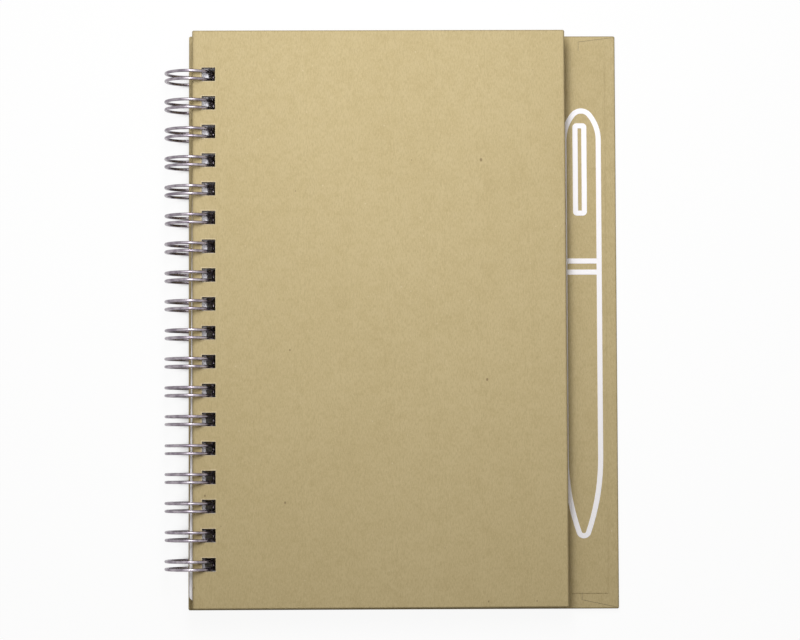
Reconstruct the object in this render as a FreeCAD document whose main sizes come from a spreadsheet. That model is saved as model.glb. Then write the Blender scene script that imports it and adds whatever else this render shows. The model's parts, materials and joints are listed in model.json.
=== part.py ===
import FreeCAD, Part
import Sketcher
import math
import os

# Twin loop notebook: two wrapped board covers and a block of loose sheets on one
# bent wire. Every piece is drawn flat in the book frame, with the ring centre as
# its origin, X towards the fore-edge, Y up the page and Z out of the front cover.
# The last step tips the book by about a degree, because at rest the rings and the
# fore-edge of the back cover carry it.

# Driving dimensions, in millimetres and degrees, and counts
SIZES = [
    # the binding
    ("loop_count", 18),
    ("loop_pitch", 8.467),
    ("ring_radius", 6.95),
    ("wire_size", 0.9),
    ("wire_sides", 6),
    ("leg_spacing", 2.3),
    ("root_angle", 24.2),
    ("tip_angle", 4.0),
    ("root_bend", 1.0),
    ("leg_facets", 20),
    ("tip_facets", 5),
    ("bend_facets", 2),
    ("wire_drop", 0.28),
    # the covers
    ("cover_height", 170.0),
    ("front_width", 109.9),
    ("front_start", 1.1),
    ("free_strip", 15.6),
    ("back_start", -0.5),
    ("back_extra", 0.35),
    ("back_drop", 0.55),
    ("back_turn", 0.1),
    ("board_thickness", 1.4),
    ("wrap_thickness", 0.2),
    ("lining_thickness", 0.2),
    ("cover_edge", 0.5),
    ("turn_in", 10.9),
    ("head_rise", 1.8),
    ("tail_rise", 2.65),
    ("fold_gap", 0.08),
    ("lining_side_inset", 3.2),
    ("lining_end_inset", 4.6),
    ("lining_spine_inset", 1.5),
    # the punched holes
    ("hole_side", 4.0),
    ("front_margin", 2.8),
    ("back_margin", 3.7),
    ("page_margin", 4.6),
    # the pages
    ("page_start", 0.45),
    ("page_side_inset", 3.6),
    ("page_end_inset", 2.6),
    ("page_corner", 1.3),
    ("page_skew", 0.4),
    ("page_play", 0.1),
    ("block_thickness", 6.0),
    ("seam_lift", 1.7),
    ("seam_shelf", 12.0),
    ("seam_slope", 18.0),
    # the pen outline printed inside the back cover
    ("ink_thickness", 0.08),
    ("line_width", 1.52),
    ("pen_from_edge", 10.3),
    ("pen_half_width", 5.88),
    ("pen_top", 63.4),
    ("pen_shoulder", 54.0),
    ("crown_radius", 3.9),
    ("pen_taper", -40.5),
    ("pen_tip", -64.45),
    ("nose_radius", 2.2),
    ("bar_centre", 16.1),
    ("bar_spacing", 3.3),
    ("clip_shift", 0.48),
    ("clip_width", 4.15),
    ("clip_corner", 1.2),
    ("clip_top", 58.95),
    ("clip_bottom", 31.3),
]
ALIASES = {alias for alias, value in SIZES}

DOC = FreeCAD.newDocument("spiral_notebook")
SHEET = DOC.addObject("Spreadsheet::Sheet", "sizes")
for row, (alias, value) in enumerate(SIZES, start=1):
    SHEET.set("A%d" % row, alias)
    SHEET.set("B%d" % row, str(value))
    SHEET.setAlias("B%d" % row, alias)
DOC.recompute()

# Sizes that follow from the driving ones, as expressions
BLANK = "( board_thickness + 2 * wrap_thickness )"
COVER = "( board_thickness + 2 * wrap_thickness + lining_thickness )"
PAGE_FACE = "( block_thickness / 2 )"
BACK_FACE = "( block_thickness / 2 + page_play )"
FRONT_RIGHT = "( front_start + front_width )"
PAGE_RIGHT = "( front_start + front_width - page_side_inset )"
BACK_RIGHT = "( front_start + front_width + free_strip )"
HOLES_SPAN = "( ( loop_count - 1 ) * loop_pitch )"


def cell(text):
    """An expression with each alias in it given its sheet."""
    return " ".join("sizes." + word if word in ALIASES else word for word in text.split())


def value_of(text):
    """The number that an expression has now."""
    return float(SHEET.evalExpression(cell(text)))


# Sketches and features


def origin_item(body, role):
    """One of the body's own origin planes or axes."""
    return [item for item in body.Origin.OriginFeatures if item.Role == role][0]


def new_body(name, base=None):
    """An empty body, or one that goes on from the shape of another object."""
    body = DOC.addObject("PartDesign::Body", name)
    if base is not None:
        body.BaseFeature = base
    return body


def new_sketch(body, name, role="XY_Plane", lift="0"):
    """A sketch on an origin plane of its body, lifted along the plane's normal."""
    sketch = body.newObject("Sketcher::SketchObject", name)
    sketch.AttachmentSupport = [(origin_item(body, role), "")]
    sketch.MapMode = "FlatFace"
    sketch.setExpression(".AttachmentOffset.Base.z", cell(lift))
    return sketch


def pin_point(sketch, line, end, across, up):
    """Hold one end of a line at two expressions from the sketch's origin."""
    for kind, text in (("DistanceX", across), ("DistanceY", up)):
        rule = Sketcher.Constraint(kind, -1, 1, line, end, value_of(text))
        index = sketch.addConstraint(rule)
        sketch.setExpression("Constraints[%d]" % index, cell(text))


def add_polygon(sketch, points):
    """A closed outline of straight lines whose corners follow expressions."""
    corners = [FreeCAD.Vector(value_of(across), value_of(up), 0) for across, up in points]
    first = sketch.GeometryCount
    count = len(points)
    for i in range(count):
        sketch.addGeometry(Part.LineSegment(corners[i], corners[(i + 1) % count]), False)
    for i in range(count):
        following = first + (i + 1) % count
        sketch.addConstraint(Sketcher.Constraint("Coincident", first + i, 2, following, 1))
    for i, (across, up) in enumerate(points):
        pin_point(sketch, first + i, 1, across, up)


def add_rectangle(sketch, left, right, bottom, top):
    """A rectangle between four expressions."""
    add_polygon(sketch, [(left, bottom), (right, bottom), (right, top), (left, top)])


def add_pad(body, sketch, length, both_ways=False):
    """Material from a sketch, along its normal or to both sides of it."""
    pad = body.newObject("PartDesign::Pad", sketch.Name + "_pad")
    pad.Profile = sketch
    pad.Midplane = both_ways
    pad.setExpression("Length", cell(length))
    DOC.recompute()
    return pad


def add_pocket(body, sketch, length, both_ways=False):
    """A cut upwards from a sketch, or to both sides of it, that has to take something."""
    DOC.recompute()
    before = body.Shape.Volume
    pocket = body.newObject("PartDesign::Pocket", sketch.Name + "_pocket")
    pocket.Profile = sketch
    pocket.Midplane = both_ways
    pocket.Reversed = not both_ways
    pocket.setExpression("Length", cell(length))
    DOC.recompute()
    if not body.Shape.Volume < before:
        raise ValueError("the cut %s takes nothing away" % pocket.Name)
    return pocket


def add_fillet(body, feature, radius, wanted=None):
    """A rounding of all the feature's edges, or of those that pass a test."""
    edges = feature.Shape.Edges
    picked = [i for i, edge in enumerate(edges) if wanted is None or wanted(edge)]
    fillet = body.newObject("PartDesign::Fillet", feature.Name + "_round")
    fillet.Base = (feature, ["Edge%d" % (i + 1) for i in picked])
    fillet.setExpression("Radius", cell(radius))
    DOC.recompute()
    return fillet


def is_upright(edge):
    """True for an edge that runs along Z."""
    return edge.BoundBox.ZLength > max(edge.BoundBox.XLength, edge.BoundBox.YLength)


def punch_holes(body, left, lift, length, both_ways=False):
    """The row of square holes down the spine, one for every loop."""
    sketch = new_sketch(body, body.Name + "_hole", lift=lift)
    centre = "( 0 - " + HOLES_SPAN + " / 2 )"
    add_rectangle(sketch, left, left + " + hole_side",
                  centre + " - hole_side / 2", centre + " + hole_side / 2")
    pocket = add_pocket(body, sketch, length, both_ways)
    holes = body.newObject("PartDesign::LinearPattern", body.Name + "_holes")
    holes.Originals = [pocket]
    holes.Direction = (origin_item(body, "Y_Axis"), [""])
    holes.setExpression("Length", cell(HOLES_SPAN))
    holes.setExpression("Occurrences", cell("loop_count"))
    body.Tip = holes
    DOC.recompute()


# Covers


def rounded_slab(name, outline, lift, thickness, rim):
    """A flat slab whose edges are all rounded."""
    body = new_body(name)
    sketch = new_sketch(body, name + "_outline", lift=lift)
    add_rectangle(sketch, *outline)
    pad = add_pad(body, sketch, thickness)
    add_fillet(body, pad, rim)
    return body


def slit_corner(body, edge, inward, end, half_height, lift):
    """The fold at one corner, where the side flap of the wrap lies on the end flap."""
    side = "spine" if inward == " + " else "fore"
    rise = "tail_rise" if "-" in end else "head_rise"
    turned = edge + inward + "turn_in "
    across = [edge + inward + "cover_edge", turned, turned,
              turned + inward + "fold_gap", turned + inward + "fold_gap",
              edge + inward + "cover_edge"]
    depths = ["cover_edge", rise, "turn_in", "turn_in", rise + " - fold_gap",
              "cover_edge - fold_gap"]
    ups = [end + "( " + half_height + " - ( " + depth + " ) )" for depth in depths]
    sketch = new_sketch(body, "_".join([body.Name, side, rise]), lift=lift)
    add_polygon(sketch, list(zip(across, ups)))
    add_pocket(body, sketch, "wrap_thickness")


def make_cover(side, left, right, height, margin):
    """The board, the wrap and the lining of one cover."""
    half_height = "( ( " + height + " ) / 2 )"

    def level(depth, thickness):
        """The underside of a layer that begins at a depth inside the cover's outer face."""
        if side == "front":
            return "( " + PAGE_FACE + " + " + COVER + " - ( " + depth + " ) ) - " + thickness
        return "0 - ( " + BACK_FACE + " + " + COVER + " - ( " + depth + " ) )"

    def outline(side_inset, end_inset, spine_inset=None):
        """The four sides of a rectangle set in from the cover's own."""
        return [left + " + " + (spine_inset or side_inset), right + " - " + side_inset,
                "0 - ( " + half_height + " - " + end_inset + " )",
                "( " + half_height + " - " + end_inset + " )"]

    hole_left = left + " + " + margin
    board_level = level("wrap_thickness", "board_thickness")
    flap_level = level("wrap_thickness + board_thickness", "wrap_thickness")
    lining_level = level(BLANK, "lining_thickness")
    board_sizes = [outline("wrap_thickness", "wrap_thickness"), board_level, "board_thickness",
                   "cover_edge - wrap_thickness"]
    window = outline("turn_in", "turn_in")

    # the turned in flaps of the wrap are pressed into the board, so its middle stands up
    board = rounded_slab(side + "_board", *board_sizes)
    sketch = new_sketch(board, side + "_middle", lift=flap_level)
    add_rectangle(sketch, *window)
    add_pad(board, sketch, "wrap_thickness")
    punch_holes(board, hole_left, board_level, "board_thickness")

    # the wrap is one sheet folded round the board, so the board's form is cut out of it
    blank = rounded_slab(side + "_blank", outline("0", "0"), level("0", BLANK), BLANK, "cover_edge")
    form = rounded_slab(side + "_form", *board_sizes)
    folded = DOC.addObject("Part::Cut", side + "_folded")
    folded.Base = blank
    folded.Tool = form
    DOC.recompute()
    wrap = new_body(side + "_wrap", folded)
    sketch = new_sketch(wrap, side + "_window", lift=flap_level)
    add_rectangle(sketch, *window)
    add_pocket(wrap, sketch, "wrap_thickness")
    for edge, inward in ((left, " + "), (right, " - ")):
        for end in ("", "0 - "):
            slit_corner(wrap, edge, inward, end, half_height, flap_level)
    punch_holes(wrap, hole_left, level("0", BLANK), BLANK)

    # the lining lies flat on the board's middle and on the flaps
    lining = new_body(side + "_lining")
    sketch = new_sketch(lining, side + "_sheet", lift=lining_level)
    add_rectangle(sketch, *outline("lining_side_inset", "lining_end_inset", "lining_spine_inset"))
    add_pad(lining, sketch, "lining_thickness")
    punch_holes(lining, hole_left, lining_level, "lining_thickness")
    return [board, wrap, lining]


# Pages


def make_page_block():
    """All the sheets as one block, its underside bowed up where it lies over the seam."""
    body = new_body("page_block")
    sketch = new_sketch(body, "block_profile", role="XZ_Plane")
    left = value_of("page_start")
    right = value_of(PAGE_RIGHT)
    top = value_of(PAGE_FACE)
    shelf = value_of("seam_lift") - top
    slope_left = value_of("page_start + seam_shelf")
    slope_right = value_of("page_start + seam_shelf + seam_slope")
    # two equal arcs, tangent to each other, lead from the shelf down to the flat
    rise = value_of("seam_lift")
    run = value_of("seam_slope")
    radius = (run * run + rise * rise) / (4 * rise)
    bend = math.asin(run / 2 / radius)
    up = FreeCAD.Vector(0, 0, 1)
    upper = Part.Circle(FreeCAD.Vector(slope_left, shelf - radius, 0), up, radius)
    lower = Part.Circle(FreeCAD.Vector(slope_right, radius - top, 0), up, radius)
    quarter = math.pi / 2
    path = [(left, shelf), (slope_left, shelf), (slope_right, -top), (right, -top), (right, top),
            (left, top)]
    spots = [FreeCAD.Vector(across, high, 0) for across, high in path]
    sketch.addGeometry([
        Part.LineSegment(spots[0], spots[1]),
        Part.ArcOfCircle(upper, quarter - bend, quarter),
        Part.ArcOfCircle(lower, -quarter - bend, -quarter),
        Part.LineSegment(spots[2], spots[3]),
        Part.LineSegment(spots[3], spots[4]),
        Part.LineSegment(spots[4], spots[5]),
        Part.LineSegment(spots[5], spots[0]),
    ], False)
    # an arc runs anticlockwise, so the upper one ends on the shelf and starts at the lower one
    for first, first_end, second, second_end in ((0, 2, 1, 2), (1, 1, 2, 1), (2, 2, 3, 1)):
        rule = Sketcher.Constraint("Tangent", first, first_end, second, second_end)
        sketch.addConstraint(rule)
    for first in (3, 4, 5, 6):
        rule = Sketcher.Constraint("Coincident", first, 2, (first + 1) % 7, 1)
        sketch.addConstraint(rule)
    for line, direction in ((0, "Horizontal"), (3, "Horizontal"), (4, "Vertical"),
                            (5, "Horizontal"), (6, "Vertical")):
        sketch.addConstraint(Sketcher.Constraint(direction, line))
    sketch.addConstraint(Sketcher.Constraint("Equal", 1, 2))
    pin_point(sketch, 0, 1, "page_start", "seam_lift - " + PAGE_FACE)
    for line, text in ((1, "page_start + seam_shelf"), (3, "page_start + seam_shelf + seam_slope")):
        end = 2 if line == 1 else 1
        rule = Sketcher.Constraint("DistanceX", -1, 1, line, end, value_of(text))
        index = sketch.addConstraint(rule)
        sketch.setExpression("Constraints[%d]" % index, cell(text))
    rule = Sketcher.Constraint("DistanceY", -1, 1, 3, 1, -top)
    index = sketch.addConstraint(rule)
    sketch.setExpression("Constraints[%d]" % index, cell("0 - " + PAGE_FACE))
    pin_point(sketch, 5, 1, PAGE_RIGHT, PAGE_FACE)
    pad = add_pad(body, sketch, "cover_height - 2 * page_end_inset", both_ways=True)
    add_fillet(body, pad, "page_corner", is_upright)
    punch_holes(body, "page_start + page_margin", "0", "2 * block_thickness", both_ways=True)
    return body


# Binding wire


def make_binding_wire():
    """One faceted wire bent into a row of twin loops, each closed on the root of its own loop."""
    ring = value_of("ring_radius")
    half = value_of("leg_spacing / 2")
    bend = value_of("root_bend")
    sides = int(value_of("wire_sides"))
    root = math.radians(-value_of("root_angle"))
    tip = math.radians(value_of("tip_angle"))
    sweep = 2 * math.pi + root - tip
    along = FreeCAD.Vector(0, 1, 0)
    reach = value_of("wire_size / 2") / math.cos(math.pi / sides)

    def outward(angle):
        return FreeCAD.Vector(math.cos(angle), 0, math.sin(angle))

    def onward(angle):
        return FreeCAD.Vector(-math.sin(angle), 0, math.cos(angle))

    def section(centre, outer, travel):
        """The corners of the wire's section, with one flat facing away from the ring centre."""
        across = travel.cross(outer)
        turns = [(2 * i + 1) * math.pi / sides for i in range(sides)]
        return [centre + outer * (reach * math.cos(turn)) + across * (reach * math.sin(turn))
                for turn in turns]

    def flat_bend(angle, middle, radius, first, last, facets):
        """Sections along an arc that lies in the plane tangent to the ring."""
        sections = []
        for i in range(facets + 1):
            turn = first + (last - first) * i / facets
            radial = onward(angle) * math.cos(turn) + along * math.sin(turn)
            travel = along * math.cos(turn) - onward(angle) * math.sin(turn)
            if last < first:
                travel = travel * -1
            place = outward(angle) * ring + along * middle + radial * radius
            sections.append(section(place, outward(angle), travel))
        return sections

    def leg(up, first, last, facets):
        """Sections along one leg of a loop, between two angles round the ring."""
        sections = []
        for i in range(1, facets):
            angle = first + (last - first) * i / facets
            travel = onward(angle) if last > first else onward(angle) * -1
            sections.append(section(outward(angle) * ring + along * up, outward(angle), travel))
        return sections

    count = int(value_of("loop_count"))
    pitch = value_of("loop_pitch")
    leg_facets = int(value_of("leg_facets"))
    bend_facets = int(value_of("bend_facets"))
    tip_facets = int(value_of("tip_facets"))
    lowest = -value_of(HOLES_SPAN + " / 2") - value_of("wire_drop")
    right_angle = math.pi / 2
    sections = []
    for i in range(count):
        middle = lowest + i * pitch
        # down from the run to the foot, round the ring, over the tip and all the way back
        sections += flat_bend(root, middle - half - bend, bend, 0, right_angle, bend_facets)
        sections += leg(middle - half, root, root - sweep, leg_facets)
        sections += flat_bend(tip, middle, half, 3 * right_angle, right_angle, tip_facets)
        sections += leg(middle + half, root - sweep, root, leg_facets)
        sections += flat_bend(root, middle + half + bend, bend, 3 * right_angle,
                              4 * right_angle, bend_facets)
    faces = [Part.Face(Part.makePolygon(ring_end + ring_end[:1]))
             for ring_end in (sections[0], sections[-1])]
    for near, far in zip(sections, sections[1:]):
        for i in range(sides):
            following = (i + 1) % sides
            outline = [near[i], near[following], far[following], far[i], near[i]]
            faces.append(Part.Face(Part.makePolygon(outline)))
    shell = Part.Shell(faces)
    wire = Part.Solid(shell)
    if wire.Volume < 0:
        wire.reverse()
    feature = DOC.addObject("Part::Feature", "binding_wire")
    feature.Shape = wire
    print("wire sections", len(sections), "volume", wire.Volume, "closed", shell.isClosed())
    return feature


# Print


def make_pen_print():
    """The outline of a pen, in a thin layer of ink on the lining of the back cover."""
    ink = value_of("ink_thickness")
    width = value_of("line_width")
    face_level = value_of("0 - " + BACK_FACE)
    axis = value_of(BACK_RIGHT + " - pen_from_edge")
    up = FreeCAD.Vector(0, 0, 1)

    def spot(across, high):
        return FreeCAD.Vector(axis + across, high, face_level)

    def pen_end(half, straight, middle, radius):
        """Edges round one end: a side arc, the end's arc and the other side arc.

        The side arcs leave the straight sides and run into the end's arc, tangent to both.
        """
        away = 1 if middle > straight else -1
        drop = abs(middle - straight)
        side = (drop * drop + half * half - radius * radius) / (2 * (half - radius))
        lean = math.atan2(drop, side - half)

        def on_side(turn):
            return half - side + side * math.cos(turn), straight + away * side * math.sin(turn)

        meet = on_side(lean)
        bulge = on_side(lean / 2)
        return [
            Part.Arc(spot(half, straight), spot(*bulge), spot(*meet)),
            Part.Arc(spot(*meet), spot(0, middle + away * radius), spot(-meet[0], meet[1])),
            Part.Arc(spot(-meet[0], meet[1]), spot(-bulge[0], bulge[1]), spot(-half, straight)),
        ]

    def pen_face(inset):
        """The pen's outline, set in by a distance."""
        half = value_of("pen_half_width") - inset
        shoulder = value_of("pen_shoulder")
        taper = value_of("pen_taper")
        edges = pen_end(half, shoulder, value_of("pen_top - crown_radius"),
                        value_of("crown_radius") - inset)
        edges.append(Part.LineSegment(spot(-half, shoulder), spot(-half, taper)))
        edges += pen_end(half, taper, value_of("pen_tip + nose_radius"),
                         value_of("nose_radius") - inset)
        edges.append(Part.LineSegment(spot(half, taper), spot(half, shoulder)))
        shapes = Part.sortEdges([edge.toShape() for edge in edges])[0]
        return Part.Face(Part.Wire(shapes))

    def layer(face):
        return face.extrude(up * ink)

    def bar(left, right, low, high):
        return Part.makeBox(right - left, high - low, ink, spot(left, low))

    figure = layer(pen_face(0)).cut(layer(pen_face(width)))
    inner_half = value_of("pen_half_width") - width
    for step in (-1, 1):
        low = value_of("bar_centre") + step * value_of("bar_spacing / 2") - width / 2
        figure = figure.fuse(bar(-inner_half, inner_half, low, low + width))

    clip_left = -value_of("clip_shift + clip_width / 2")
    clip_right = clip_left + value_of("clip_width")
    bottom = value_of("clip_bottom")
    top = value_of("clip_top")
    clip = bar(clip_left, clip_right, bottom, top)
    upright = [edge for edge in clip.Edges if is_upright(edge)]
    clip = clip.makeFillet(value_of("clip_corner"), upright)
    clip = clip.cut(bar(clip_left + width, clip_right - width, bottom + width, top - width))
    feature = DOC.addObject("Part::Feature", "pen_print")
    feature.Shape = Part.makeCompound([figure.removeSplitter(), clip])
    return feature


def rest_placement(parts):
    """Tips the flat book until the rings and the fore-edge of the back cover touch the ground."""
    ring = value_of("ring_radius + wire_size / 2")
    rim = value_of("cover_edge")
    turn = math.radians(value_of("back_turn"))
    # the back cover's lowest corner is the head end of its fore-edge, its rim a quarter round
    reach = (value_of(BACK_RIGHT) - rim) * math.cos(turn)
    reach += (value_of("( cover_height + back_extra ) / 2") - rim) * math.sin(turn)
    depth = value_of(BACK_FACE + " + " + COVER) - rim
    tilt = math.asin((ring - rim) / math.hypot(reach, depth)) - math.atan2(depth, reach)
    spin = FreeCAD.Placement(FreeCAD.Vector(0, 0, 0),
                             FreeCAD.Rotation(FreeCAD.Vector(0, 1, 0), math.degrees(tilt)))
    box = FreeCAD.BoundBox()
    for part in parts:
        tipped = part.Shape.copy()
        tipped.Placement = spin.multiply(part.Placement)
        box.add(tipped.optimalBoundingBox(False))
    spin.Base = FreeCAD.Vector(-box.Center.x, -box.Center.y, -box.ZMin)
    print("tilt", math.degrees(tilt), "ring centre", spin.Base)
    return spin


def check(parts):
    """Stop if any object of the document failed or any piece is not a sound solid."""
    for item in DOC.Objects:
        if "Invalid" in item.State or "Error" in item.State:
            raise ValueError("%s failed: %s" % (item.Name, item.State))
    for part in parts:
        shape = part.Shape
        if shape.isNull() or not shape.isValid() or not shape.Solids:
            raise ValueError("%s is not a sound solid" % part.Name)


def main():
    """Build every piece, lay the book down and write the files."""
    up = FreeCAD.Vector(0, 0, 1)
    front = make_cover("front", "front_start", FRONT_RIGHT, "cover_height", "front_margin")
    back = make_cover("back", "back_start", BACK_RIGHT, "cover_height + back_extra", "back_margin")
    back.append(make_pen_print())
    block = make_page_block()
    parts = front + back + [block, make_binding_wire()]
    DOC.recompute()
    # the back cover hangs a little low and, like the pages, a little turned on the wire
    drop = FreeCAD.Vector(0, -value_of("back_drop"), 0)
    for part in back:
        part.Placement = FreeCAD.Placement(drop, FreeCAD.Rotation(up, -value_of("back_turn")))
    block.Placement.Rotation = FreeCAD.Rotation(up, -value_of("page_skew"))
    place = rest_placement(parts)
    for part in parts:
        part.Label = part.Name
        part.Placement = place.multiply(part.Placement)
    DOC.recompute()
    check(parts)
    os.makedirs("parts", exist_ok=True)
    for part in parts:
        part.Shape.exportStep("parts/%s.step" % part.Label)
        box = part.Shape.BoundBox
        print(part.Label, "solids", len(part.Shape.Solids), "faces", len(part.Shape.Faces),
              "volume %.1f" % part.Shape.Volume, "X %.3f %.3f Y %.3f %.3f Z %.3f %.3f" % (
                  box.XMin, box.XMax, box.YMin, box.YMax, box.ZMin, box.ZMax))


main()
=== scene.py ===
import json
import math
import random

import bpy
from mathutils import Matrix, Vector


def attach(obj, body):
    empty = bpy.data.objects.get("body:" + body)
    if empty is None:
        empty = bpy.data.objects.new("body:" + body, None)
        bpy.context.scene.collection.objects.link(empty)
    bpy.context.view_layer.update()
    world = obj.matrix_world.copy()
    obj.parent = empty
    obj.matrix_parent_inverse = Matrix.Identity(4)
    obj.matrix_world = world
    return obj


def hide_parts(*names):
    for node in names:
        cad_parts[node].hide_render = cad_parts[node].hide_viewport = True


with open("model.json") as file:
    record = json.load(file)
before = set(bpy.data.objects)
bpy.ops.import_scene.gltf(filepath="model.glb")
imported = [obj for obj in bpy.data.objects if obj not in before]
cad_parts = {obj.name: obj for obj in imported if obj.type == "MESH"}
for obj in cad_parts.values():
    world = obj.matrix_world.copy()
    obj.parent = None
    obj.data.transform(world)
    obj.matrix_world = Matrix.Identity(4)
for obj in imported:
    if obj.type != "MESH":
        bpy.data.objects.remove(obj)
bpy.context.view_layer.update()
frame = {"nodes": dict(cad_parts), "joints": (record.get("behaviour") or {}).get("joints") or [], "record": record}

# The flat book is tipped about the ring centre. Its own axes are: across to the fore-edge,
# up the page, and out of the front cover. All lengths are in metres.

MM = 0.001
JOINTS = {joint["name"]: joint for joint in frame["joints"]}
MOUNTS = {mount["name"]: mount for mount in frame["record"]["mounts"]}
RING_CENTRE = Vector(JOINTS["front_cover_hinge"]["pos_m"])
ACROSS = Vector(MOUNTS["fore_edge"]["axis"])
TILT = math.atan2(-ACROSS.z, ACROSS.x)
BOOK = Matrix.Translation(RING_CENTRE) @ Matrix.Rotation(TILT, 4, "Y")
# the back cover hangs a little lower on the wire and a little turned
BACK_TURN = math.asin(-ACROSS.y)
BACK_DROP = 0.55 * MM

# Binding
LOOPS = 18
PITCH = 8.467 * MM
SPAN = (LOOPS - 1) * PITCH
RING = 6.95 * MM
WIRE = 0.9 * MM
HALF_LEG = 1.15 * MM
ROOT_ANGLE = math.radians(-24.2)
TIP_ANGLE = math.radians(4.0)
ROOT_BEND = 1.0 * MM
WIRE_DROP = 0.28 * MM
LOOP_LEAN = 0.09 * MM
LOOP_SWELL = 0.05 * MM
LEG_STEPS = 56
TIP_STEPS = 12
BEND_STEPS = 6
WIRE_SIDES = 14

# Covers and holes
HOLE = 4.0 * MM
FRONT_HOLE = 5.9 * MM
BACK_HOLE = 5.2 * MM
FRONT_LEFT = 1.1 * MM
FRONT_RIGHT = 111.0 * MM
FRONT_HEIGHT = 170.0 * MM
BACK_LEFT = -0.5 * MM
BACK_RIGHT = 126.6 * MM
BACK_HEIGHT = 170.35 * MM

# Sheets
SHEETS = 60
SHEET_THICKNESS = 0.066 * MM
PAGE_START = 0.75 * MM
PAGE_WIDTH = 106.6 * MM
PAGE_HEIGHT = 164.8 * MM
PAGE_MARGIN = 4.35 * MM
PAGE_CORNER = 1.3 * MM
PAGE_SKEW = math.radians(-0.4)
BLOCK = 6.0 * MM
SEAM_LIFT = 1.7 * MM
SEAM_SHELF = 12.0 * MM
SEAM_SLOPE = 18.0 * MM
SLOPE_STEPS = 6
CORNER_STEPS = 4
# how far single sheets stray from the stack
SHEET_SLIDE = 0.05 * MM
SHEET_RISE = 0.10 * MM
SHEET_TURN = math.radians(0.03)
LOW_SHEET_TURN = math.radians(0.16)

# Linear colours
KRAFT = (0.520, 0.417, 0.218, 1)
KRAFT_LIGHT = (0.560, 0.455, 0.250, 1)
KRAFT_DARK = (0.430, 0.338, 0.168, 1)
# painted shade for the covers' edges
KRAFT_EDGE_SHADE = (0.200, 0.150, 0.075, 1)
KRAFT_BURR = (0.740, 0.640, 0.450, 1)
BARK_SPECK = (0.230, 0.165, 0.080, 1)
PALE_SPECK = (0.680, 0.580, 0.380, 1)
# grey board tones, darkened with painted shade for the walls of the holes
BOARD_SHADED_DARK = (0.090, 0.075, 0.090, 1)
BOARD_SHADED_LIGHT = (0.150, 0.130, 0.140, 1)
INK = (0.965, 0.945, 0.98, 1)
INK_WORN = (0.78, 0.75, 0.74, 1)
INK_THICK = (0.98, 0.97, 0.99, 1)
PAPER_DULL = (0.89, 0.875, 0.925, 1)
PAPER_BRIGHT = (0.93, 0.915, 0.955, 1)
# painted shade for the paper deep in the holes
PAPER_HOLE_SHADE = (0.090, 0.070, 0.100, 1)
NICKEL_DARK = (0.210, 0.178, 0.212, 1)
NICKEL_LIGHT = (0.390, 0.352, 0.385, 1)
ROOM = (1.0, 0.92, 0.70, 1)
LAMP = (0.97, 0.98, 1.0)

# Light, floor and camera, which is fitted to the photograph
LAMP_AIM = (0, 0.05, 0)
ROOM_STRENGTH = 0.15
FLOOR_SHADE_REACH = 20.0 * MM
FLOOR_WHITE_SHARE = 0.93
FLOOR_REACH = 3.0
CAMERA_PLACE = (0.00296, -0.039, 0.73965)
CAMERA_TURN = [math.radians(angle) for angle in (3.042, 0.058, -0.298)]
CAMERA_LENS = 111.876
SENSOR_WIDTH = 36.0
SEED = 18


# Meshes


def add_mesh(name, points, faces, material, smooth=False):
    """A mesh piece given in the flat book's frame and laid down with it."""
    mesh = bpy.data.meshes.new(name)
    mesh.from_pydata([BOOK @ Vector(point) for point in points], [], faces)
    mesh.validate()
    mesh.update()
    for face in mesh.polygons:
        face.use_smooth = smooth
    piece = bpy.data.objects.new(name, mesh)
    bpy.context.scene.collection.objects.link(piece)
    mesh.materials.append(material)
    return piece


# Node materials


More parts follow.
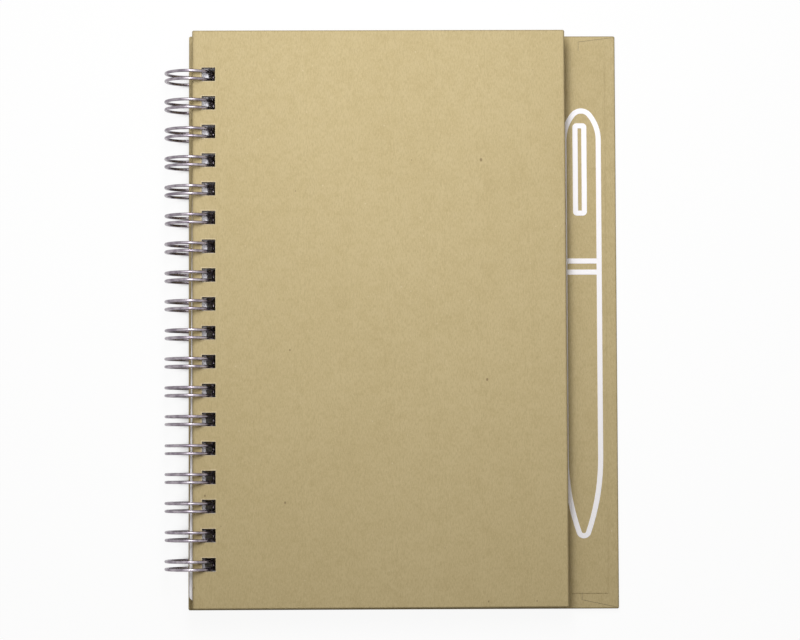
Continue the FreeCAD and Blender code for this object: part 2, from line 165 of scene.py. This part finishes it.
class Nodes:
    """A short way to write a node tree."""

    def __init__(self, name):
        self.material = bpy.data.materials.new(name)
        self.material.use_nodes = True
        self.tree = self.material.node_tree
        self.tree.nodes.clear()
        self.output = self.add("ShaderNodeOutputMaterial")
        self.shader = self.add("ShaderNodeBsdfPrincipled")
        self.link(self.shader.outputs["BSDF"], self.output.inputs["Surface"])
        self.place = self.add("ShaderNodeTexCoord").outputs["Object"]

    def add(self, kind, **settings):
        node = self.tree.nodes.new(kind)
        for key, value in settings.items():
            setattr(node, key, value)
        return node

    def link(self, source, target):
        self.tree.links.new(source, target)

    def feed(self, target, value):
        """Link a socket, or set a plain value."""
        if isinstance(value, bpy.types.NodeSocket):
            self.link(value, target)
        elif value is not None:
            target.default_value = value

    def math(self, operation, first, second=None, third=None):
        node = self.add("ShaderNodeMath", operation=operation)
        for socket, value in zip(node.inputs, (first, second, third)):
            self.feed(socket, value)
        return node.outputs[0]

    def stretch(self, scale):
        """Texture coordinates scaled along each axis."""
        node = self.add("ShaderNodeMapping")
        self.link(self.place, node.inputs["Vector"])
        node.inputs["Scale"].default_value = scale
        return node.outputs["Vector"]

    def noise(self, scale, vector=None, detail=2.0, roughness=0.5):
        node = self.add("ShaderNodeTexNoise")
        self.link(vector or self.place, node.inputs["Vector"])
        for key, value in (("Scale", scale), ("Detail", detail), ("Roughness", roughness)):
            node.inputs[key].default_value = value
        return node.outputs["Fac"]

    def spots(self, scale, vector):
        """Cells round a cloud of points, with each one's distance and colour."""
        node = self.add("ShaderNodeTexVoronoi")
        self.link(vector, node.inputs["Vector"])
        node.inputs["Scale"].default_value = scale
        return node

    def ramp(self, value, low, high, to_low=0.0, to_high=1.0):
        """A value mapped smoothly from one range to another."""
        node = self.add("ShaderNodeMapRange", interpolation_type="SMOOTHSTEP")
        for key, item in (("Value", value), ("From Min", low), ("From Max", high),
                          ("To Min", to_low), ("To Max", to_high)):
            self.feed(node.inputs[key], item)
        return node.outputs["Result"]

    def mix(self, factor, first, second):
        node = self.add("ShaderNodeMix", data_type="RGBA")
        self.feed(node.inputs["Factor"], factor)
        self.feed(node.inputs["A"], first)
        self.feed(node.inputs["B"], second)
        return node.outputs["Result"]

    def bump(self, height, distance, strength, normal=None):
        node = self.add("ShaderNodeBump")
        self.link(height, node.inputs["Height"])
        node.inputs["Distance"].default_value = distance
        node.inputs["Strength"].default_value = strength
        if normal is not None:
            self.link(normal, node.inputs["Normal"])
        return node.outputs["Normal"]

    def open_sky(self, reach):
        """How much of the sky is seen past what lies nearby, from 0 to 1."""
        node = self.add("ShaderNodeAmbientOcclusion")
        node.inputs["Distance"].default_value = reach
        return node

    def set(self, **values):
        """Set or link the main shader's inputs."""
        for key, value in values.items():
            self.feed(self.shader.inputs[key.replace("_", " ")], value)


def cover_place(nodes, drop, turn):
    """Across and up coordinates in a cover's own flat frame, in metres."""
    flat = nodes.add("ShaderNodeMapping", vector_type="TEXTURE")
    nodes.link(nodes.place, flat.inputs["Vector"])
    flat.inputs["Location"].default_value = (RING_CENTRE.x, RING_CENTRE.y - drop, 0)
    flat.inputs["Rotation"].default_value = (0, 0, -turn)
    split = nodes.add("ShaderNodeSeparateXYZ")
    nodes.link(flat.outputs["Vector"], split.inputs["Vector"])
    return split.outputs["X"], split.outputs["Y"]


def beyond(nodes, place, middle, half):
    """How far a coordinate lies outside a span."""
    offset = nodes.math("ABSOLUTE", nodes.math("SUBTRACT", place, middle))
    return nodes.math("SUBTRACT", offset, half)


def hole_rim(nodes, across, up, centre):
    """How far a point of a cover lies outside its nearest punched hole."""
    step = nodes.math("WRAP", up, PITCH, 0.0)
    # past the last hole of the row the distance only grows
    upways = nodes.math("MAXIMUM", beyond(nodes, step, PITCH / 2, HOLE / 2),
                        beyond(nodes, up, 0.0, SPAN / 2 + HOLE / 2))
    return nodes.math("MAXIMUM", beyond(nodes, across, centre, HOLE / 2), upways)


def kraft_material(name, hole_centre, left, right, height, drop=0.0, turn=0.0, spine=0.0):
    """Brown kraft paper with fine fibres, faint clouds, specks and pale punched rims.

    The cover's edges are given in its own flat frame, and spine is how dark the painted shade along its spine edge
    is.
    """
    nodes = Nodes(name)
    fibres = nodes.noise(4200, nodes.stretch((1.0, 0.22, 1.0)), detail=4, roughness=0.6)
    grain = nodes.noise(2600, detail=3, roughness=0.6)
    clouds = nodes.noise(48, detail=3, roughness=0.5)
    patches = nodes.noise(330, detail=4, roughness=0.6)
    colour = nodes.mix(nodes.ramp(clouds, 0.3, 0.7, 0.0, 0.5), KRAFT, KRAFT_LIGHT)
    colour = nodes.mix(nodes.ramp(patches, 0.40, 0.75, 0.0, 0.32), colour, KRAFT_DARK)
    colour = nodes.mix(nodes.ramp(grain, 0.42, 0.68, 0.0, 0.80), colour, KRAFT_LIGHT)
    colour = nodes.mix(nodes.ramp(fibres, 0.42, 0.68, 0.0, 0.70), colour, KRAFT_DARK)
    # small dark specks of bark and a few pale ones
    for scale, rare, radius, amount, tint in ((640, 0.86, 0.26, 0.80, BARK_SPECK),
                                              (1050, 0.78, 0.24, 0.50, PALE_SPECK)):
        cells = nodes.spots(scale, nodes.stretch((1.0, 0.7, 1.0)))
        size = nodes.ramp(cells.outputs["Color"], rare, 1.0, 0.0, radius)
        edge = nodes.math("SUBTRACT", cells.outputs["Distance"], size)
        colour = nodes.mix(nodes.ramp(edge, -0.06, 0.02, amount, 0.0), colour, tint)
    across, up = cover_place(nodes, drop, turn)
    # painted shade darkens the outer edges, and more painted shade darkens the spine's edge
    outside = nodes.math("MAXIMUM", nodes.math("SUBTRACT", across, right),
                         beyond(nodes, up, 0.0, height / 2))
    edge = nodes.ramp(outside, -0.55 * MM, -0.05 * MM, 0.0, 0.62)
    colour = nodes.mix(edge, colour, KRAFT_EDGE_SHADE)
    # painted shade along the spine's edge
    spine_shade = nodes.ramp(across, left, left + 1.2 * MM, spine, 0.0)
    colour = nodes.mix(spine_shade, colour, KRAFT_EDGE_SHADE)
    rim = hole_rim(nodes, across, up, hole_centre)
    ragged = nodes.math("MULTIPLY", nodes.math("SUBTRACT", patches, 0.5), 0.5 * MM)
    burr = nodes.ramp(nodes.math("ADD", rim, ragged), 0.05 * MM, 0.36 * MM, 1.0, 0.0)
    colour = nodes.mix(nodes.math("MULTIPLY", burr, 0.5), colour, KRAFT_BURR)
    relief = nodes.math("ADD", nodes.math("MULTIPLY", fibres, 0.6),
                        nodes.math("MULTIPLY", patches, 0.4))
    normal = nodes.bump(relief, 0.030 * MM, 0.5)
    normal = nodes.bump(burr, 0.10 * MM, 0.5, normal)
    nodes.set(Base_Color=colour, Roughness=nodes.ramp(patches, 0.3, 0.7, 0.66, 0.80), Normal=normal)
    nodes.shader.inputs["Specular IOR Level"].default_value = 0.30
    return nodes.material


def board_material():
    """Grey board, darkened with painted shade, as it shows in the walls of the holes."""
    nodes = Nodes("grey_board")
    layers = nodes.noise(1800, nodes.stretch((0.2, 0.2, 3.0)), detail=3)
    colour = nodes.mix(nodes.ramp(layers, 0.3, 0.7), BOARD_SHADED_DARK, BOARD_SHADED_LIGHT)
    nodes.set(Base_Color=colour, Roughness=0.9, Normal=nodes.bump(layers, 0.05 * MM, 0.6))
    return nodes.material


def ink_material():
    """White screen print with a little of the paper's grain in it."""
    nodes = Nodes("white_ink")
    grain = nodes.noise(2600, nodes.stretch((1.0, 0.3, 1.0)), detail=4, roughness=0.6)
    clouds = nodes.noise(300, detail=2)
    colour = nodes.mix(nodes.ramp(grain, 0.55, 0.85, 0.0, 0.30), INK, INK_WORN)
    colour = nodes.mix(nodes.ramp(clouds, 0.4, 0.7, 0.0, 0.15), colour, INK_THICK)
    nodes.set(Base_Color=colour, Roughness=0.55, Normal=nodes.bump(grain, 0.02 * MM, 0.4))
    return nodes.material


def paper_material():
    """Plain white writing paper, with painted shade deep in the punched holes."""
    nodes = Nodes("white_paper")
    tooth = nodes.noise(3800, detail=3)
    clouds = nodes.noise(140, detail=2)
    colour = nodes.mix(nodes.ramp(clouds, 0.3, 0.7), PAPER_DULL, PAPER_BRIGHT)
    # painted shade darkens the stack deep in the punched holes
    sky = nodes.open_sky(3.0 * MM)
    sky.samples = 8
    colour = nodes.mix(nodes.ramp(sky.outputs["AO"], 0.06, 0.34, 0.80, 0.0), colour, PAPER_HOLE_SHADE)
    nodes.set(Base_Color=colour, Roughness=0.85, Normal=nodes.bump(tooth, 0.012 * MM, 0.5))
    return nodes.material


def wire_material():
    """Dark nickel on steel wire, with fine drawing marks."""
    nodes = Nodes("wire")
    marks = nodes.noise(2400, detail=3)
    blotches = nodes.noise(500, detail=2)
    colour = nodes.mix(nodes.ramp(blotches, 0.3, 0.7), NICKEL_DARK, NICKEL_LIGHT)
    nodes.set(Base_Color=colour, Metallic=1.0, Roughness=nodes.ramp(marks, 0.3, 0.7, 0.22, 0.34),
              Normal=nodes.bump(marks, 0.006 * MM, 0.5))
    return nodes.material


# Binding wire


def ring_point(radius, angle, up):
    """A point at an angle round the ring, in the flat book's frame."""
    return Vector((radius * math.cos(angle), up, radius * math.sin(angle)))


def wire_path(rng):
    """The centre line of the whole wire, from its lower cut end to its upper one."""
    root_out = Vector((math.cos(ROOT_ANGLE), 0, math.sin(ROOT_ANGLE)))
    root_on = Vector((-math.sin(ROOT_ANGLE), 0, math.cos(ROOT_ANGLE)))
    tip_on = Vector((-math.sin(TIP_ANGLE), 0, math.cos(TIP_ANGLE)))
    sweep = TIP_ANGLE - 2 * math.pi - ROOT_ANGLE
    path = []
    for i in range(LOOPS):
        middle = i * PITCH - SPAN / 2 - WIRE_DROP
        lean = rng.uniform(-1, 1) * LOOP_LEAN
        swell = rng.uniform(-1, 1) * LOOP_SWELL

        def leg(part, side):
            """A point part of the way round a leg, with the loop's own small lean."""
            angle = ROOT_ANGLE + sweep * part
            free = math.sin(math.pi * part)
            return ring_point(RING + swell * free, angle, middle + side * HALF_LEG + lean * free)

        # root bend of the lower leg, turning off the run along the spine
        centre = root_out * RING + Vector((0, middle - HALF_LEG - ROOT_BEND, 0))
        for k in range(BEND_STEPS + 1):
            turn = math.pi / 2 * k / BEND_STEPS
            out = root_on * math.cos(turn) + Vector((0, math.sin(turn), 0))
            path.append(centre + out * ROOT_BEND)
        for k in range(1, LEG_STEPS):
            path.append(leg(k / LEG_STEPS, -1))
        tip_centre = ring_point(RING, TIP_ANGLE, middle)
        for k in range(TIP_STEPS + 1):
            turn = math.pi * k / TIP_STEPS
            out = Vector((0, -math.cos(turn), 0)) - tip_on * math.sin(turn)
            path.append(tip_centre + out * HALF_LEG)
        for k in range(LEG_STEPS - 1, 0, -1):
            path.append(leg(k / LEG_STEPS, 1))
        # root bend of the upper leg, turning back onto the run
        centre = root_out * RING + Vector((0, middle + HALF_LEG + ROOT_BEND, 0))
        for k in range(BEND_STEPS + 1):
            turn = math.pi / 2 * k / BEND_STEPS
            out = root_on * math.sin(turn) - Vector((0, math.cos(turn), 0))
            path.append(centre + out * ROOT_BEND)
    return path


def tube(name, path, radius, sides, material):
    """A round tube along a path, whose section turns with it and never twists."""
    points = []
    faces = []
    last = len(path) - 1
    side = None
    for i, centre in enumerate(path):
        onward = (path[min(i + 1, last)] - path[max(i - 1, 0)]).normalized()
        if side is None:
            side = onward.orthogonal()
        side = (side - onward * side.dot(onward)).normalized()
        up = onward.cross(side)
        for k in range(sides):
            turn = 2 * math.pi * k / sides
            points.append(centre + (side * math.cos(turn) + up * math.sin(turn)) * radius)
    for i in range(last):
        this, following = i * sides, (i + 1) * sides
        for k in range(sides):
            after = (k + 1) % sides
            faces.append((this + k, this + after, following + after, following + k))
    faces.append(tuple(range(sides - 1, -1, -1)))
    faces.append(tuple(last * sides + k for k in range(sides)))
    return add_mesh(name, points, faces, material, smooth=True)


# Sheets


def block_height(across):
    """The thickness of the stack at a distance from its spine edge."""
    slope = min(max((across - SEAM_SHELF) / SEAM_SLOPE, 0.0), 1.0)
    eased = 2 * slope * slope if slope < 0.5 else 1 - 2 * (1 - slope) ** 2
    return BLOCK - SEAM_LIFT * (1 - eased)


def add_sheet(points, faces, number, columns, rows, rng):
    """One punched sheet with round corners: a top, an underside and its cut edges."""
    slide = rng.uniform(-1, 1) * SHEET_SLIDE
    rise = rng.uniform(-1, 1) * SHEET_RISE
    # the lower sheets have turned a little further on the wire
    level = (number + 0.5) / SHEETS
    turn = PAGE_SKEW + rng.uniform(-1, 1) * SHEET_TURN
    turn -= LOW_SHEET_TURN * math.sin(math.pi * min(2 * (1 - level), 1.0) / 2)
    known = {}

    def index(face, across, up):
        """The number of the point at a place on the sheet, made when first asked for."""
        key = (face, across, up)
        if key not in known:
            stack = block_height(across)
            # the lowest and highest sheets just touch the stack's own faces
            high = BLOCK / 2 - stack + SHEET_THICKNESS / 2 + (stack - SHEET_THICKNESS) * level
            high += SHEET_THICKNESS * (face - 0.5)
            right, head = PAGE_START + across + slide, up + rise
            known[key] = len(points)
            points.append(Vector((right * math.cos(turn) - head * math.sin(turn),
                                  right * math.sin(turn) + head * math.cos(turn), high)))
        return known[key]

    def solid(column, row):
        """Whether a patch of the sheet is paper, and not a hole or past its edge."""
        if not (0 <= column < len(columns) - 1 and 0 <= row < len(rows) - 1):
            return False
        return not (column == 1 and row % 2 == 1)

    def corner(across, up):
        """The arc that replaces a corner of the sheet."""
        inward = 1 if across == columns[0] else -1
        upward = 1 if up == rows[0] else -1
        centre = (across + inward * PAGE_CORNER, up + upward * PAGE_CORNER)
        turns = [math.pi / 2 * k / CORNER_STEPS for k in range(CORNER_STEPS + 1)]
        arc = [(centre[0] - inward * PAGE_CORNER * math.sin(turn),
                centre[1] - upward * PAGE_CORNER * math.cos(turn)) for turn in turns]
        return arc if inward != upward else arc[::-1]

    for column in range(len(columns) - 1):
        for row in range(len(rows) - 1):
            if not solid(column, row):
                continue
            outline = []
            for dx, dy in ((0, 0), (1, 0), (1, 1), (0, 1)):
                spot = (columns[column + dx], rows[row + dy])
                at_corner = spot[0] in (columns[0], columns[-1]) and spot[1] in (rows[0], rows[-1])
                outline += corner(*spot) if at_corner else [spot]
            faces.append(tuple(index(1, *spot) for spot in outline))
            faces.append(tuple(index(0, *spot) for spot in reversed(outline)))
            for first, second in zip(outline, outline[1:] + outline[:1]):
                step = (second[0] - first[0], second[1] - first[1])
                if abs(step[0]) > 1e-9 and abs(step[1]) > 1e-9:
                    cut = True
                elif abs(step[1]) <= 1e-9:
                    cut = not solid(column, row + (-1 if step[0] > 0 else 1))
                else:
                    cut = not solid(column + (1 if step[1] > 0 else -1), row)
                if cut:
                    faces.append((index(0, *first), index(0, *second), index(1, *second),
                                  index(1, *first)))


def make_sheets(material, rng):
    """The stack of loose sheets, in one piece."""
    rows = [-PAGE_HEIGHT / 2]
    for i in range(LOOPS):
        middle = i * PITCH - SPAN / 2
        rows += [middle - HOLE / 2, middle + HOLE / 2]
    rows.append(PAGE_HEIGHT / 2)
    columns = [0.0, PAGE_MARGIN, PAGE_MARGIN + HOLE, SEAM_SHELF]
    columns += [SEAM_SHELF + SEAM_SLOPE * k / SLOPE_STEPS for k in range(1, SLOPE_STEPS + 1)]
    columns.append(PAGE_WIDTH)
    points = []
    faces = []
    for number in range(SHEETS):
        add_sheet(points, faces, number, columns, rows, rng)
    return add_mesh("page_sheets", points, faces, material)


# Scene


def dress(node, material):
    """Give a CAD piece its material."""
    piece = frame["nodes"][node]
    piece.data.materials.clear()
    piece.data.materials.append(material)


def soft_light(name, place, width, height, power):
    """A rectangular soft lamp."""
    lamp = bpy.data.lights.new(name, "AREA")
    lamp.shape = "RECTANGLE"
    lamp.size = width
    lamp.size_y = height
    lamp.energy = power
    lamp.color = LAMP
    holder = bpy.data.objects.new(name, lamp)
    holder.location = place
    holder.visible_camera = False
    holder.rotation_mode = "QUATERNION"
    holder.rotation_quaternion = (Vector(LAMP_AIM) - Vector(place)).to_track_quat("-Z", "Y")
    bpy.context.scene.collection.objects.link(holder)


def make_world():
    """An even pale room, and a white background where the camera sees past the floor."""
    world = bpy.data.worlds.new("room")
    bpy.context.scene.world = world
    world.use_nodes = True
    tree = world.node_tree
    tree.nodes.clear()
    output = tree.nodes.new("ShaderNodeOutputWorld")
    fill = tree.nodes.new("ShaderNodeBackground")
    fill.inputs["Color"].default_value = ROOM
    fill.inputs["Strength"].default_value = ROOM_STRENGTH
    shown = tree.nodes.new("ShaderNodeBackground")
    shown.inputs["Color"].default_value = (1, 1, 1, 1)
    shown.inputs["Strength"].default_value = 1.0
    rays = tree.nodes.new("ShaderNodeLightPath")
    seen = tree.nodes.new("ShaderNodeMath")
    seen.operation = "MAXIMUM"
    tree.links.new(rays.outputs["Is Camera Ray"], seen.inputs[0])
    tree.links.new(rays.outputs["Is Transmission Ray"], seen.inputs[1])
    either = tree.nodes.new("ShaderNodeMath")
    either.operation = "MAXIMUM"
    tree.links.new(seen.outputs[0], either.inputs[0])
    tree.links.new(rays.outputs["Is Glossy Ray"], either.inputs[1])
    mix = tree.nodes.new("ShaderNodeMixShader")
    tree.links.new(either.outputs[0], mix.inputs["Fac"])
    tree.links.new(fill.outputs[0], mix.inputs[1])
    tree.links.new(shown.outputs[0], mix.inputs[2])
    tree.links.new(mix.outputs[0], output.inputs["Surface"])


def make_floor():
    """A plain floor that looks white and keeps a faint soft shadow."""
    nodes = Nodes("floor")
    nodes.set(Base_Color=(0.90, 0.90, 0.90, 1), Roughness=0.9)
    white = nodes.add("ShaderNodeEmission")
    rays = nodes.add("ShaderNodeLightPath")
    seen = nodes.math("MAXIMUM", rays.outputs["Is Camera Ray"], rays.outputs["Is Glossy Ray"])
    mix = nodes.add("ShaderNodeMixShader")
    # under the book the floor stays as dark as it is
    sky = nodes.open_sky(FLOOR_SHADE_REACH)
    share = nodes.ramp(sky.outputs["AO"], 0.05, 0.50, 0.0, FLOOR_WHITE_SHARE)
    nodes.link(nodes.math("MULTIPLY", seen, share), mix.inputs["Fac"])
    nodes.link(nodes.shader.outputs["BSDF"], mix.inputs[1])
    nodes.link(white.outputs["Emission"], mix.inputs[2])
    nodes.link(mix.outputs["Shader"], nodes.output.inputs["Surface"])
    mesh = bpy.data.meshes.new("floor")
    far = FLOOR_REACH
    corners = [(-far, -far, 0), (far, -far, 0), (far, far, 0), (-far, far, 0)]
    mesh.from_pydata(corners, [], [(0, 1, 2, 3)])
    mesh.materials.append(nodes.material)
    floor = bpy.data.objects.new("floor", mesh)
    bpy.context.scene.collection.objects.link(floor)


def make_camera():
    """The camera at the photograph's viewpoint."""
    data = bpy.data.cameras.new("camera")
    data.lens = CAMERA_LENS
    data.sensor_width = SENSOR_WIDTH
    camera = bpy.data.objects.new("camera", data)
    camera.location = CAMERA_PLACE
    camera.rotation_euler = CAMERA_TURN
    bpy.context.scene.collection.objects.link(camera)
    bpy.context.scene.camera = camera


def main():
    """Dress the CAD pieces, add the wire and the sheets, and set the stage."""
    bpy.context.scene.view_settings.view_transform = "Standard"
    # the front cover gets painted shade along its spine edge
    kraft_front = kraft_material("kraft_front", FRONT_HOLE, FRONT_LEFT, FRONT_RIGHT, FRONT_HEIGHT,
                                 spine=0.45)
    kraft_back = kraft_material("kraft_back", BACK_HOLE, BACK_LEFT, BACK_RIGHT, BACK_HEIGHT,
                                BACK_DROP, BACK_TURN)
    board = board_material()
    dress("front_wrap", kraft_front)
    dress("front_lining", kraft_front)
    dress("front_board", board)
    dress("back_wrap", kraft_back)
    dress("back_lining", kraft_back)
    dress("back_board", board)
    dress("pen_print", ink_material())

    rng = random.Random(SEED)
    wire = tube("twin_loop_wire", wire_path(rng), WIRE / 2, WIRE_SIDES, wire_material())
    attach(wire, "bound_pages")
    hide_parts("binding_wire")
    sheets = make_sheets(paper_material(), rng)
    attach(sheets, "bound_pages")
    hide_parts("page_block")

    make_world()
    make_floor()
    # a narrow lamp draws the shadow beside the front cover, and a broad one softens it
    soft_light("window", (-0.015, 0.13, 0.28), 0.07, 0.22, 0.60)
    soft_light("sky", (-0.015, 0.16, 0.32), 0.34, 0.34, 0.54)
    make_camera()


main()
